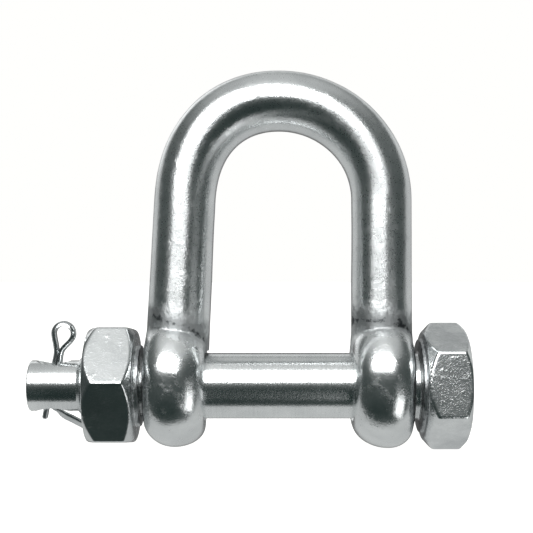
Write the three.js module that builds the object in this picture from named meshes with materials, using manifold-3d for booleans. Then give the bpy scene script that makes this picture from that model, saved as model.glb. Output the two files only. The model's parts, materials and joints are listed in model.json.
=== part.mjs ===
// Bolt-type dee shackle: a bent round bar with two forged eyes, closed by a hex-head bolt,
// a hex nut and a split cotter pin. Millimetres, +Z up, X along the bolt towards its head.
import * as THREE from "three";
import { mergeVertices } from "three/addons/utils/BufferGeometryUtils.js";
import Module from "manifold-3d";

const wasm = await Module();
wasm.setup();

// --- Bow: the bar's centreline, measured from the bolt axis midway between the eyes ---
const BAR_RADIUS = 8.05;
const JAW_HALF = 19.15; // bolt centre to an eye's inner face
const EYE_THICKNESS = 15.7;
const LEFT_EYE_RADIUS = 15.9;
const RIGHT_EYE_RADIUS = 16.2;
const EYE_CREST_OUT = 0.9; // how far the rim's crest lies outwards of the eye's middle
const EYE_FLAT_RADIUS = 10.9; // flat ring round the bore on each side of an eye
const EYE_RIM_FULLNESS = 2.0; // superellipse power of the eye's bulging rim
const EYE_UPPER_STRETCH = 1.1; // each eye is drawn up towards the bar above the bolt axis
const EYE_FOOT_LEAN = 0.7; // how far the bottom of each rim leans towards +X
const BORE_RADIUS = 8.9;
const SHOULDER_Z = 48.6; // where the straight legs end and the crown begins
const LEFT_SHOULDER_X = -24.6;
const RIGHT_SHOULDER_X = 26.95;
const APEX_X = 0.0;
const APEX_Z = 74.6;
const LEFT_FULLNESS = 0.6; // Bezier handle length as a share of each crown quarter
const RIGHT_FULLNESS = 0.555;

// --- Hexagons of the bolt's head and the nut ---
const HEAD_RADIUS = 16.7; // over the corners
const NUT_RADIUS = 16.95;
const HEX_BEARING_RADIUS = 13.9; // flat circle that bears on the bow
const HEX_OUTER_RADIUS = 14.4; // flat circle on the outer end
// Each hexagon's turn about the bolt axis: a corner's angle from +Y towards +Z.
const HEAD_TURN = THREE.MathUtils.degToRad(23.35);
const NUT_TURN = THREE.MathUtils.degToRad(-8);
// Length of the chamfer cones at the corners: on the bearing end and on the outer end.
const HEAD_CHAMFERS = [2.6, 1.7];
const NUT_CHAMFERS = [2.0, 2.8];
// Round washer face on the bearing end: radius and height.
const HEAD_COLLAR = [12.2, 0.9];
const NUT_COLLAR = [10.6, 1.2];

// --- Bolt, along X ---
const HEAD_UNDERSIDE_X = 36.5;
const HEAD_END_X = 48.75;
const SHANK_RADIUS = 8.56;
const SHANK_END_X = -35.1;
const THREAD_RADIUS = 7.9;
const THREAD_END_X = -52.0;
const THREAD_CHAMFER = 0.6;
const SPIGOT_RADIUS = 6.6;
const SPIGOT_END_X = -65.0;
const SPIGOT_CHAMFER = 0.35;
const COTTER_HOLE_X = -59.0;
const COTTER_HOLE_RADIUS = 2.75;
const COTTER_SINK_RADIUS = 4.6; // countersink where the hole meets the spigot's skin
const COTTER_SINK_DEPTH = 1.7;

// --- Nut ---
const NUT_INNER_X = -35.9;
const NUT_OUTER_X = -49.8;
const NUT_BORE_RADIUS = 8.2;
const NUT_BORE_CHAMFER = 0.9;

// --- Cotter pin: a half-round wire in its own frame, Z along the pin towards the eye ---
const COTTER_X = -59.15; // where the pin crosses the bolt axis
const COTTER_TILT = THREE.MathUtils.degToRad(10);
const WIRE_RADIUS = 1.36;
const LEG_GAP = 0.12; // between the flats of the two legs
const NECK_Z = 10.2;
const EYE_CENTRE_X = 0.35;
const EYE_CENTRE_Z = 13.95;
const EYE_WIRE_RADIUS = 1.95; // inside radius of the eye
const STRAIGHT_LEG_Z = -8.9;
const BEND_Z = -5.0;
const BENT_LEG_REACH_X = 10.0;
const BENT_LEG_END_Z = -9.25;
const BENT_LEG_TWIST = THREE.MathUtils.degToRad(45);

const ROUND_SEGMENTS = 44;
const BAR_SEGMENTS = 28;
const BAR_STEPS = 60;
const WIRE_STEPS = 84;

// A closed three.js geometry as a manifold-3d solid, for the boolean operations.
function solid(geometry) {
  const bare = geometry.clone();
  bare.deleteAttribute("normal");
  bare.deleteAttribute("uv");
  const merged = mergeVertices(bare, 1e-4);
  return new wasm.Manifold(
    new wasm.Mesh({
      numProp: 3,
      vertProperties: merged.getAttribute("position").array,
      triVerts: new Uint32Array(merged.index.array),
    }),
  );
}

// The other way round: a manifold-3d solid as a three.js geometry.
function geometryOf(body) {
  const mesh = body.getMesh();
  const geometry = new THREE.BufferGeometry();
  geometry.setAttribute("position", new THREE.BufferAttribute(mesh.vertProperties, 3));
  geometry.setIndex(new THREE.BufferAttribute(mesh.triVerts, 1));
  geometry.computeVertexNormals();
  return geometry;
}

// A solid turned about the X axis from [x, radius] pairs that run towards +X.
function turned(profile, segments = ROUND_SEGMENTS) {
  const points = profile.map(([x, radius]) => new THREE.Vector2(radius, x));
  const geometry = new THREE.LatheGeometry(points, segments);
  geometry.rotateZ(-Math.PI / 2);
  return solid(geometry);
}

// Turns a shape's own plane into the YZ plane, so that an extrusion runs along +X.
const ALONG_X = new THREE.Matrix4().makeBasis(
  new THREE.Vector3(0, 1, 0),
  new THREE.Vector3(0, 0, 1),
  new THREE.Vector3(1, 0, 0),
);

// A hexagonal prism along X from the face that bears on the bow to the outer end.
// Both ends are chamfered by a cone, and a low round collar stands on the bearing end.
function hexagon(bearingX, outerX, radius, turn, chamfers, collar) {
  const [bearingChamfer, outerChamfer] = chamfers;
  const [collarRadius, collarHeight] = collar;
  const outline = new THREE.Shape();
  for (let i = 0; i < 6; i += 1) {
    const angle = (i * Math.PI) / 3;
    const corner = [radius * Math.cos(angle), radius * Math.sin(angle)];
    if (i === 0) outline.moveTo(...corner);
    else outline.lineTo(...corner);
  }
  const depth = Math.abs(outerX - bearingX);
  const prism = new THREE.ExtrudeGeometry(outline, { depth, bevelEnabled: false });
  prism.rotateZ(turn);
  prism.applyMatrix4(ALONG_X);
  prism.translate(Math.min(bearingX, outerX), 0, 0);
  const outward = Math.sign(outerX - bearingX);
  const shoulderX = bearingX + outward * collarHeight;
  const cones = [
    [bearingX, 0],
    [bearingX, collarRadius],
    [shoulderX, collarRadius],
    [shoulderX, HEX_BEARING_RADIUS],
    [shoulderX + outward * bearingChamfer, radius + 0.05],
    [outerX - outward * outerChamfer, radius + 0.05],
    [outerX, HEX_OUTER_RADIUS],
    [outerX, 0],
  ];
  if (outward < 0) cones.reverse();
  return solid(prism).intersect(turned(cones));
}

// The bar's centreline: a leaning left leg, two crown quarters and an upright right leg.
function bowCentreline() {
  const eyeX = JAW_HALF + EYE_THICKNESS / 2;
  const leftFoot = new THREE.Vector3(-eyeX, 0, 0);
  const leftShoulder = new THREE.Vector3(LEFT_SHOULDER_X, 0, SHOULDER_Z);
  const apex = new THREE.Vector3(APEX_X, 0, APEX_Z);
  const rightShoulder = new THREE.Vector3(RIGHT_SHOULDER_X, 0, SHOULDER_Z);
  const rightFoot = new THREE.Vector3(eyeX, 0, 0);
  const rise = APEX_Z - SHOULDER_Z;
  const leftUp = leftShoulder.clone().sub(leftFoot).normalize();
  const rightUp = rightShoulder.clone().sub(rightFoot).normalize();
  const along = new THREE.Vector3(1, 0, 0);
  const path = new THREE.CurvePath();
  path.add(new THREE.LineCurve3(leftFoot, leftShoulder));
  path.add(
    new THREE.CubicBezierCurve3(
      leftShoulder,
      leftShoulder.clone().addScaledVector(leftUp, LEFT_FULLNESS * rise),
      apex.clone().addScaledVector(along, LEFT_FULLNESS * (LEFT_SHOULDER_X - APEX_X)),
      apex,
    ),
  );
  path.add(
    new THREE.CubicBezierCurve3(
      apex,
      apex.clone().addScaledVector(along, RIGHT_FULLNESS * (RIGHT_SHOULDER_X - APEX_X)),
      rightShoulder.clone().addScaledVector(rightUp, RIGHT_FULLNESS * rise),
      rightShoulder,
    ),
  );
  path.add(new THREE.LineCurve3(rightShoulder, rightFoot));
  return path;
}

// One forged eye about the bolt axis: flat rings on both sides and a bulging rim between.
// The side is -1 for the left eye and 1 for the right one.
function eye(side, radius) {
  const innerX = side * JAW_HALF;
  const outerX = side * (JAW_HALF + EYE_THICKNESS);
  const crestX = (innerX + outerX) / 2 + side * EYE_CREST_OUT;
  const power = 2 / EYE_RIM_FULLNESS;
  const steps = 14;
  const profile = [[innerX, 0]];
  for (let i = 0; i <= steps; i += 1) {
    const angle = Math.PI * (i / steps);
    const faceX = Math.cos(angle) > 0 ? innerX : outerX;
    const out = EYE_FLAT_RADIUS + (radius - EYE_FLAT_RADIUS) * Math.sin(angle) ** power;
    profile.push([crestX + (faceX - crestX) * Math.abs(Math.cos(angle)) ** power, out]);
  }
  profile.push([outerX, 0]);
  if (side < 0) profile.reverse();
  return turned(profile).warp((vertex) => {
    const below = Math.max(0, -vertex[2] - EYE_FLAT_RADIUS);
    vertex[0] += (EYE_FOOT_LEAN * below) / (radius - EYE_FLAT_RADIUS);
    if (vertex[2] > 0) vertex[2] *= EYE_UPPER_STRETCH;
  });
}

// The bow: bar and eyes joined, with both bores cut through on one axis.
function bowBody() {
  const section = new THREE.Shape();
  for (let i = 0; i < BAR_SEGMENTS; i += 1) {
    const angle = (i * 2 * Math.PI) / BAR_SEGMENTS;
    const point = [BAR_RADIUS * Math.cos(angle), BAR_RADIUS * Math.sin(angle)];
    if (i === 0) section.moveTo(...point);
    else section.lineTo(...point);
  }
  const bar = new THREE.ExtrudeGeometry(section, {
    steps: BAR_STEPS,
    extrudePath: bowCentreline(),
    bevelEnabled: false,
  });
  const reach = JAW_HALF + EYE_THICKNESS + 1;
  const bore = turned([
    [-reach, 0],
    [-reach, BORE_RADIUS],
    [reach, BORE_RADIUS],
    [reach, 0],
  ]);
  return solid(bar)
    .add(eye(-1, LEFT_EYE_RADIUS))
    .add(eye(1, RIGHT_EYE_RADIUS))
    .subtract(bore);
}

// The hole through the spigot for the cotter pin, with a countersink at both mouths.
function cotterHole() {
  const drill = new THREE.LatheGeometry(
    [
      new THREE.Vector2(0, -SPIGOT_RADIUS - 1),
      new THREE.Vector2(COTTER_SINK_RADIUS + 1, -SPIGOT_RADIUS - 1),
      new THREE.Vector2(COTTER_SINK_RADIUS, -SPIGOT_RADIUS),
      new THREE.Vector2(COTTER_HOLE_RADIUS, -SPIGOT_RADIUS + COTTER_SINK_DEPTH),
      new THREE.Vector2(COTTER_HOLE_RADIUS, SPIGOT_RADIUS - COTTER_SINK_DEPTH),
      new THREE.Vector2(COTTER_SINK_RADIUS, SPIGOT_RADIUS),
      new THREE.Vector2(COTTER_SINK_RADIUS + 1, SPIGOT_RADIUS + 1),
      new THREE.Vector2(0, SPIGOT_RADIUS + 1),
    ],
    24,
  );
  drill.rotateX(Math.PI / 2);
  drill.translate(COTTER_HOLE_X, 0, 0);
  return solid(drill);
}

// The bolt: hex head, plain shank, threaded length and a reduced spigot for the cotter pin.
function bolt() {
  const stem = turned([
    [SPIGOT_END_X, 0],
    [SPIGOT_END_X, SPIGOT_RADIUS - SPIGOT_CHAMFER],
    [SPIGOT_END_X + SPIGOT_CHAMFER, SPIGOT_RADIUS],
    [THREAD_END_X, SPIGOT_RADIUS],
    [THREAD_END_X, THREAD_RADIUS - THREAD_CHAMFER],
    [THREAD_END_X + THREAD_CHAMFER, THREAD_RADIUS],
    [SHANK_END_X, THREAD_RADIUS],
    [SHANK_END_X, SHANK_RADIUS],
    [HEAD_UNDERSIDE_X + 1, SHANK_RADIUS],
    [HEAD_UNDERSIDE_X + 1, 0],
  ]);
  const head = hexagon(
    HEAD_UNDERSIDE_X,
    HEAD_END_X,
    HEAD_RADIUS,
    HEAD_TURN,
    HEAD_CHAMFERS,
    HEAD_COLLAR,
  );
  return stem.subtract(cotterHole()).add(head);
}

// The nut: a chamfered hexagon with a plain bore that clears the bolt's thread.
function nut() {
  const mouth = NUT_BORE_RADIUS + NUT_BORE_CHAMFER;
  const bore = turned([
    [NUT_OUTER_X - 1, 0],
    [NUT_OUTER_X - 1, mouth + 1],
    [NUT_OUTER_X, mouth],
    [NUT_OUTER_X + NUT_BORE_CHAMFER, NUT_BORE_RADIUS],
    [NUT_INNER_X - NUT_BORE_CHAMFER, NUT_BORE_RADIUS],
    [NUT_INNER_X, mouth],
    [NUT_INNER_X + 1, mouth + 1],
    [NUT_INNER_X + 1, 0],
  ]);
  return hexagon(
    NUT_INNER_X,
    NUT_OUTER_X,
    NUT_RADIUS,
    NUT_TURN,
    NUT_CHAMFERS,
    NUT_COLLAR,
  ).subtract(bore);
}

// The cotter pin's wire, followed along the flat of its half-round section: up the straight
// leg, round the eye, down the second leg and out along its bent end.
function cotterWire() {
  const points = [];
  const at = (x, z) => points.push(new THREE.Vector3(x, 0, z));
  const inner = LEG_GAP / 2;
  for (const share of [0, 0.25, 0.5, 0.75, 0.94]) {
    at(-inner, STRAIGHT_LEG_Z + share * (NECK_Z - STRAIGHT_LEG_Z));
  }
  const eyeSteps = 9;
  for (let i = 0; i <= eyeSteps; i += 1) {
    const angle = THREE.MathUtils.degToRad(205 - (i * 240) / eyeSteps);
    at(
      EYE_CENTRE_X + EYE_WIRE_RADIUS * Math.cos(angle),
      EYE_CENTRE_Z + EYE_WIRE_RADIUS * Math.sin(angle),
    );
  }
  for (const share of [0.04, 0.3, 0.6, 1]) {
    at(inner, NECK_Z + share * (BEND_Z - NECK_Z));
  }
  for (const share of [0.28, 0.64, 1]) {
    const x = inner + share * BENT_LEG_REACH_X;
    at(x, BEND_Z - 1.1 + share * (BENT_LEG_END_Z - BEND_Z + 1.1));
  }
  return new THREE.CatmullRomCurve3(points, false, "centripetal");
}

// The wire swept along its path. Past the bend it is twisted, so that its flat looks down
// and forwards.
function cotterPin() {
  const section = [];
  const arcSteps = 9;
  for (let i = 0; i <= arcSteps; i += 1) {
    const angle = Math.PI * (1 - i / arcSteps);
    section.push([WIRE_RADIUS * Math.cos(angle), WIRE_RADIUS * Math.sin(angle)]);
  }
  const path = cotterWire();
  const across = new THREE.Vector3(0, 1, 0);
  const points = [];
  for (let i = 0; i <= WIRE_STEPS; i += 1) {
    const centre = path.getPointAt(i / WIRE_STEPS);
    const tangent = path.getTangentAt(i / WIRE_STEPS);
    const outward = new THREE.Vector3(-tangent.z, 0, tangent.x);
    const bent = THREE.MathUtils.smoothstep(centre.x, 0.5, BENT_LEG_REACH_X / 2);
    const twist = centre.z < 0 ? BENT_LEG_TWIST * bent : 0;
    for (const [side, height] of section) {
      points.push(
        centre
          .clone()
          .addScaledVector(across, side * Math.cos(twist) + height * Math.sin(twist))
          .addScaledVector(outward, height * Math.cos(twist) - side * Math.sin(twist)),
      );
    }
  }
  const ring = section.length;
  const last = WIRE_STEPS * ring;
  const index = [];
  for (let start = 0; start < last; start += ring) {
    for (let i = 0; i < ring; i += 1) {
      const a = start + i;
      const b = start + ((i + 1) % ring);
      index.push(a, b + ring, b, a, a + ring, b + ring);
    }
  }
  for (let i = 1; i < ring - 1; i += 1) {
    index.push(0, i, i + 1, last, last + i + 1, last + i);
  }
  const wire = new THREE.BufferGeometry().setFromPoints(points);
  wire.setIndex(index);
  return solid(wire);
}

function steel(color, roughness) {
  return new THREE.MeshStandardMaterial({ color, roughness, metalness: 1 });
}

function part(name, body, material) {
  const mesh = new THREE.Mesh(geometryOf(body), material);
  mesh.name = name;
  return mesh;
}

const cotterMount = new THREE.Group();
cotterMount.position.set(COTTER_X, 0, 0);
cotterMount.rotation.y = COTTER_TILT;
cotterMount.add(part("cotter_pin", cotterPin(), steel(0xb4b8ba, 0.3)));

// The origin is the middle of the underside: the lowest point is a corner of the head.
const lowest = HEAD_RADIUS * Math.sin(HEAD_TURN + Math.PI / 3);
const shackle = new THREE.Group();
shackle.name = "dee_shackle";
shackle.position.set(-(SPIGOT_END_X + HEAD_END_X) / 2, 0, lowest);
shackle.add(
  part("bow_body", bowBody(), steel(0xc2c6c8, 0.18)),
  part("bolt", bolt(), steel(0xb9bdbf, 0.25)),
  part("nut", nut(), steel(0xbfc2c4, 0.22)),
  cotterMount,
);

export default shackle;
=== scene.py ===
"""Polished stainless bolt-type dee shackle: smooth meshes, materials, studio light and camera.

Shapes are worked out in millimetres about the bolt axis, midway between the bow's eyes:
X along the bolt towards its head, Y away from the viewer, Z up to the crown.
"""
import json
import math

import bmesh
import bpy
import numpy as np
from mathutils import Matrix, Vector


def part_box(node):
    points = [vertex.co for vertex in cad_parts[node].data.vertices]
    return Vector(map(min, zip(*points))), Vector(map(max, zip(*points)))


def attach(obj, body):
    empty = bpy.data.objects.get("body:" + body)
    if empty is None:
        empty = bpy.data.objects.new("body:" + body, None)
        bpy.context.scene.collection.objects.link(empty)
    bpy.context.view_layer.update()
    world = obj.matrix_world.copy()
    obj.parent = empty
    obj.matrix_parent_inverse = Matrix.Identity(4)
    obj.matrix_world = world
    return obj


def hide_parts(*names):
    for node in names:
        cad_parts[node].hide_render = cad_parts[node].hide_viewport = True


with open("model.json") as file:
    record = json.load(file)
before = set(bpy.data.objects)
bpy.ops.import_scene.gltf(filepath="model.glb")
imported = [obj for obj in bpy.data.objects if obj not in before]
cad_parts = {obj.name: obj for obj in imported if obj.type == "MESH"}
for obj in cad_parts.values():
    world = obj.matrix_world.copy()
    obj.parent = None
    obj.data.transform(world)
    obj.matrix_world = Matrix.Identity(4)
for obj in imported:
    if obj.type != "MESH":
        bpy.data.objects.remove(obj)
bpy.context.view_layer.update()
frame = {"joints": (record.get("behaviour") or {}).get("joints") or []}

MM = 0.001
GRAIN_UNIT = 50.0  # millimetres for one unit of the grain coordinates

# ---------------------------------------------------------------------------------------------
# Dimensions, millimetres unless a comment says otherwise
# ---------------------------------------------------------------------------------------------
# The bow's bar, and by how much it is fuller on the left and where it swells into the eyes.
NOMINAL_BAR_RADIUS = 8.0
BAR_RADIUS = 7.94
LEFT_FULLER = 0.16
SWELL = 0.2
SWELL_SHARE = 0.06  # place of each swelling as a share of the bar's length
SWELL_WIDTH = 0.1
JAW_HALF = 19.15  # bolt centre to an eye's inner face
EYE_THICKNESS = 15.7
LEFT_EYE_RADIUS = 15.9
RIGHT_EYE_RADIUS = 16.2
EYE_X = JAW_HALF + EYE_THICKNESS / 2
EYE_FLAT_RADIUS = 9.9  # where the rim begins to bulge
EYE_CREST_OUT = 0.9  # how far the rim's crest lies outwards of the eye's middle
EYE_UPPER_STRETCH = 1.1  # each eye is drawn up towards the bar above the bolt axis
EYE_FOOT_LEAN = 0.7  # how far the bottom of each rim leans towards +X
# Each eye's front and back are pressed a little flatter above the bolt axis.
EYE_PRESSED = 2.4
EYE_PRESSED_Z = 3.7
EYE_PRESSED_WIDTH = 5.0
BORE_RADIUS = 8.9
BORE_CHAMFER = 1.0
BORE_EDGE_ROUND = 0.5
MOUTH_ROUND = 0.25
SHOULDER_Z = 48.6  # where the straight legs end and the crown begins
LEFT_SHOULDER_X = -24.6
RIGHT_SHOULDER_X = 26.95
APEX_X = 0.0
APEX_Z = 74.6
LEFT_FULLNESS = 0.6  # Bezier handle length as a share of each crown quarter
RIGHT_FULLNESS = 0.555
# Crease between bar and eye: its fillet, how far its painted shade and the rubbed, painted-shaded
# skin beside it reach, and its slant.
CREASE_FILLET = 0.9
CREASE_REACH = 5.0
CREASE_RISE = 2.6
CREASE_LOWEST_Z = 2.0
EYE_TOP_Z = 18.0  # no part of an eye lies above this
# The bar is pressed in at the front and back just above each eye.
NECK_DEPTH = 0.8
NECK_HALF_LENGTH = 4.0
NECK_ARC = 11.5  # distance along the bar from the bolt axis to the middle of the neck
# Unevenness of the tumbled forging and of the hexagons.
FORGING_WAVE = 0.035
FORGING_RIPPLE = 0.008
HEX_WAVE = 0.006

# Hexagons: radius over the corners, and of the flat circles on both ends.
HEAD_RADIUS = 16.7
NUT_RADIUS = 16.95
HEX_BEARING_RADIUS = 13.9
HEX_OUTER_RADIUS = 14.4
# Length of the chamfer cones at the corners: on the bearing end and on the outer end.
HEAD_CHAMFERS = (2.6, 1.7)
NUT_CHAMFERS = (2.0, 2.8)
# Round washer face on the bearing end: radius and height.
HEAD_COLLAR = (12.2, 0.9)
NUT_COLLAR = (10.6, 1.2)
COLLAR_ROOT = 2.0  # how far the washer face runs into the hexagon
# Painted shade on each hexagon's bearing end, next to the bow: how far it reaches, and its
# strength at the end face.
COLLAR_SHADE_REACH = 2.2
COLLAR_SHADE_START = 1.05
HEX_EDGE_ROUND = 0.5
HEX_FACE_ROUND = 0.3
HEX_GRAIN_RADIUS = 12.0
HEAD_SHY = 0.03  # keeps the head's faces just inside the solid they stand for
# A corner's angle from +Y towards +Z.
HEAD_TURN = math.radians(23.35)
NUT_TURN = math.radians(-8)

# Bolt, along X.
HEAD_UNDERSIDE_X = 36.5
HEAD_END_X = 48.75
SHANK_RADIUS = 8.56
SHANK_END_X = -35.1
THREAD_RADIUS = 7.9
THREAD_END_X = -52.0
THREAD_PITCH = 2.0
THREAD_DEPTH = 1.1
THREAD_FLANK = 1.35  # steepness of the thread's flanks, and the share left flat at the crest
THREAD_CREST = 0.2
THREAD_CHAMFER = 0.9
STEM_SHARP_ANGLE = 32  # degrees
THREAD_FINE = 3.0  # length at each end of the thread that gets closer rings
GROOVE_LENGTH = 0.6  # undercut between the thread and the shank
GROOVE_DEPTH = 0.5
SPIGOT_RADIUS = 6.6
SPIGOT_END_X = -65.0
SPIGOT_EDGE = 0.4
SPIGOT_FILLET = 0.25
SHANK_EDGE = 0.3
HEAD_FILLET = 0.5
STEM_IN_HEAD = 0.6  # how far the stem runs into the head
AXIS_RADIUS = 0.02  # smallest ring, at the axis
COTTER_HOLE_X = -59.0
COTTER_HOLE_RADIUS = 2.75
COTTER_SINK_RADIUS = 4.6
COTTER_SINK_DEPTH = 1.7
DRILL_OVERRUN = 2.0
DRILL_FLARE = 1.8

# Nut.
NUT_INNER_X = -35.9
NUT_OUTER_X = -49.8
NUT_BORE_RADIUS = 8.2
NUT_BORE_CHAMFER = 0.9
NUT_BORE_ROUND = 0.25
NUT_MOUTH_ROUND = 0.2

# Cotter pin: a half-round wire in its own frame, Z along the pin towards its eye.
COTTER_X = -59.15
COTTER_TILT = math.radians(10)
WIRE_RADIUS = 1.36
WIRE_CORNER = 0.16
WIRE_BACK_START = 8.0  # degrees from the flat to where the round back begins
WIRE_STEP = 0.16
WIRE_END = 0.45  # length over which each end is rounded off, and its share left at the tip
WIRE_TIP = 0.72
WIRE_GRAIN_STEP = 0.4
WIRE_SHARP_ANGLE = 40  # degrees
NO_WRAP = 1e9  # a period too long for the grain coordinates to wrap
LEG_GAP = 0.12
NECK_Z = 10.2
EYE_CENTRE_X = 0.35
EYE_CENTRE_Z = 13.95
EYE_WIRE_RADIUS = 1.95
EYE_START = 205.0  # degrees round the eye, and how far the wire runs round it
EYE_SWEEP = 240.0
STRAIGHT_LEG_Z = -8.9
BEND_Z = -5.0
BENT_LEG_REACH_X = 10.0
BENT_LEG_END_Z = -9.25
BENT_LEG_DROP = 1.1  # height lost in the bend itself
BENT_LEG_TWIST_X = 0.5
BENT_LEG_TWIST = math.radians(45)

# The bolt axis and the middle of the jaw in the row frame, in metres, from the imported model.
AXIS_Z = frame["joints"][0]["pos_m"][2]
JAW_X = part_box("bolt")[0].x - SPIGOT_END_X * MM


# ---------------------------------------------------------------------------------------------
# Distance fields and the surface made from them
# ---------------------------------------------------------------------------------------------
def to_row(points):
    """Millimetres about the bolt axis to metres in the row frame."""
    return np.asarray(points) * MM + np.array([JAW_X, 0.0, AXIS_Z])


def smooth_min(a, b, blend):
    """The smaller of two distances, rounded over where they are within blend."""
    h = np.maximum(blend - np.abs(a - b), 0) / blend
    return np.minimum(a, b) - h * h * blend / 4


def smooth_max(a, b, blend):
    """The larger of two distances, rounded over where they are within blend."""
    return -smooth_min(-a, -b, blend)


def gradient(field, points, eps=2e-3):
    """The field's slope at each point, by central differences."""
    columns = []
    for axis in range(3):
        step = np.zeros(3)
        step[axis] = eps
        columns.append((field(points + step) - field(points - step)) / (2 * eps))
    return np.stack(columns, axis=1)


def settle(field, points, rounds):
    """Moves points onto the field's zero surface along its gradient."""
    for _ in range(rounds):
        slope = gradient(field, points)
        length2 = np.maximum((slope * slope).sum(axis=1), 1e-6)
        points = points - slope * (field(points) / length2)[:, None]
    return points


def surface_cells(values):
    """Surface nets: one vertex for each cell that the surface crosses, and the quads between."""
    inside = values < 0
    nx, ny, nz = values.shape
    count = np.zeros((nx - 1, ny - 1, nz - 1), np.int8)
    for i in (0, 1):
        for j in (0, 1):
            for k in (0, 1):
                count += inside[i : nx - 1 + i, j : ny - 1 + j, k : nz - 1 + k]
    active = (count > 0) & (count < 8)
    index = np.full(active.shape, -1, np.int64)
    index[active] = np.arange(int(active.sum()))
    quads = []
    for axis in range(3):
        first = np.take(inside, range(0, inside.shape[axis] - 1), axis=axis)
        second = np.take(inside, range(1, inside.shape[axis]), axis=axis)
        crossing = np.argwhere(first != second)
        u_axis, v_axis = (axis + 1) % 3, (axis + 2) % 3
        starts_inside = first[tuple(crossing.T)]
        ring = []
        for du, dv in ((0, 0), (-1, 0), (-1, -1), (0, -1)):
            cell = crossing.copy()
            cell[:, u_axis] += du
            cell[:, v_axis] += dv
            ring.append(index[tuple(cell.T)])
        quad = np.stack(ring, axis=1)
        quad[~starts_inside] = quad[~starts_inside][:, ::-1]
        quads.append(quad)
    return np.argwhere(active), np.concatenate(quads)


def relax(field, points, quads, rounds):
    """Evens out the vertices along the surface, so that no face is a sliver."""
    edges = np.concatenate([quads[:, [i, (i + 1) % 4]] for i in range(4)])
    both = np.concatenate([edges, edges[:, ::-1]])
    degree = np.bincount(both[:, 0], minlength=len(points))[:, None]
    for _ in range(rounds):
        total = np.stack(
            [
                np.bincount(both[:, 0], weights=points[both[:, 1], axis], minlength=len(points))
                for axis in range(3)
            ],
            axis=1,
        )
        points = settle(field, (1 - EVENING) * points + EVENING * total / degree, 1)
    return points


NEAR_BAND = 1.3  # half thickness of the exactly sampled layer, in coarse cells
EVENING = 0.6  # share of the way to its neighbours' middle that each vertex moves


def near_values(field, low, high, step, coarse=4):
    """The field on a grid: exact near the surface, and the coarse grid's value elsewhere."""
    sizes = np.ceil((high - low) / step / coarse).astype(int)
    middle = [low[a] + step * (coarse * np.arange(sizes[a]) + (coarse - 1) / 2) for a in range(3)]
    grid = np.stack(np.meshgrid(*middle, indexing="ij"), axis=-1)
    blocks = field(grid.reshape(-1, 3)).reshape(sizes)
    values = blocks
    for axis in range(3):
        values = np.repeat(values, coarse, axis=axis)
    close = np.argwhere(np.abs(values) < coarse * step * NEAR_BAND)
    values[tuple(close.T)] = field(low + close * step)
    return values


def field_surface(field, low, high, step, relax_rounds=3):
    """Vertices, quads and exact normals of the field's zero surface inside a box."""
    low, high = np.array(low, float), np.array(high, float)
    values = near_values(field, low, high, step)
    cells, quads = surface_cells(values)
    points = low + (cells + 0.5) * step
    points = settle(field, points, 3)
    points = relax(field, points, quads, relax_rounds)
    points = settle(field, points, 2)
    normals = gradient(field, points)
    normals /= np.linalg.norm(normals, axis=1)[:, None]
    return points, quads, normals


def mesh_object(name, points, faces, normals=None):
    """A smooth-shaded object from points in millimetres, with exact normals if they are given."""
    mesh = bpy.data.meshes.new(name)
    mesh.from_pydata(to_row(points).tolist(), [], [list(map(int, f)) for f in faces])
    mesh.update()
    mesh.shade_smooth()
    if normals is not None:
        mesh.normals_split_custom_set_from_vertices([tuple(n) for n in normals])
    obj = bpy.data.objects.new(name, mesh)
    bpy.context.scene.collection.objects.link(obj)
    return obj


def lay_uv(obj, coordinates, period):
    """Writes (u, v) for each vertex, in millimetres; v wraps, so each face is kept in one turn."""
    mesh = obj.data
    layer = mesh.uv_layers.new(name="grain")
    loops = np.zeros(len(mesh.loops), np.int32)
    mesh.loops.foreach_get("vertex_index", loops)
    starts = np.zeros(len(mesh.polygons), np.int32)
    mesh.polygons.foreach_get("loop_start", starts)
    totals = np.zeros(len(mesh.polygons), np.int32)
    mesh.polygons.foreach_get("loop_total", totals)
    uv = coordinates[loops].copy()
    first = np.repeat(uv[starts, 1], totals)
    uv[:, 1] -= period * np.round((uv[:, 1] - first) / period)
    layer.data.foreach_set("uv", (uv / GRAIN_UNIT).astype(np.float32).ravel())


# ---------------------------------------------------------------------------------------------
# Bow
# ---------------------------------------------------------------------------------------------
def bezier(p0, p1, p2, p3, count):
    """Points along a cubic Bezier curve, without its last one."""
    t = np.linspace(0, 1, count, endpoint=False)[:, None]
    return (1 - t) ** 3 * p0 + 3 * (1 - t) ** 2 * t * p1 + 3 * (1 - t) * t**2 * p2 + t**3 * p3


CROWN_POINTS = 240  # in each quarter of the crown
LEG_POINTS = 60


def bow_centreline():
    """Points (x, z) from the left eye over the crown to the right eye."""
    left_foot, right_foot = np.array([-EYE_X, 0.0]), np.array([EYE_X, 0.0])
    left = np.array([LEFT_SHOULDER_X, SHOULDER_Z])
    right = np.array([RIGHT_SHOULDER_X, SHOULDER_Z])
    apex = np.array([APEX_X, APEX_Z])
    rise = APEX_Z - SHOULDER_Z
    left_up = (left - left_foot) / np.linalg.norm(left - left_foot)
    right_up = (right - right_foot) / np.linalg.norm(right - right_foot)
    along = np.array([1.0, 0.0])
    left_quarter = bezier(
        left,
        left + LEFT_FULLNESS * rise * left_up,
        apex + LEFT_FULLNESS * (LEFT_SHOULDER_X - APEX_X) * along,
        apex,
        CROWN_POINTS,
    )
    right_quarter = bezier(
        apex,
        apex + RIGHT_FULLNESS * (RIGHT_SHOULDER_X - APEX_X) * along,
        right + RIGHT_FULLNESS * rise * right_up,
        right,
        CROWN_POINTS,
    )
    share = np.linspace(0, 1, LEG_POINTS)[:, None]
    left_leg = left_foot + share[:-1] * (left - left_foot)
    right_leg = right + share * (right_foot - right)
    return np.concatenate([left_leg, left_quarter, right_quarter, right_leg])


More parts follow.
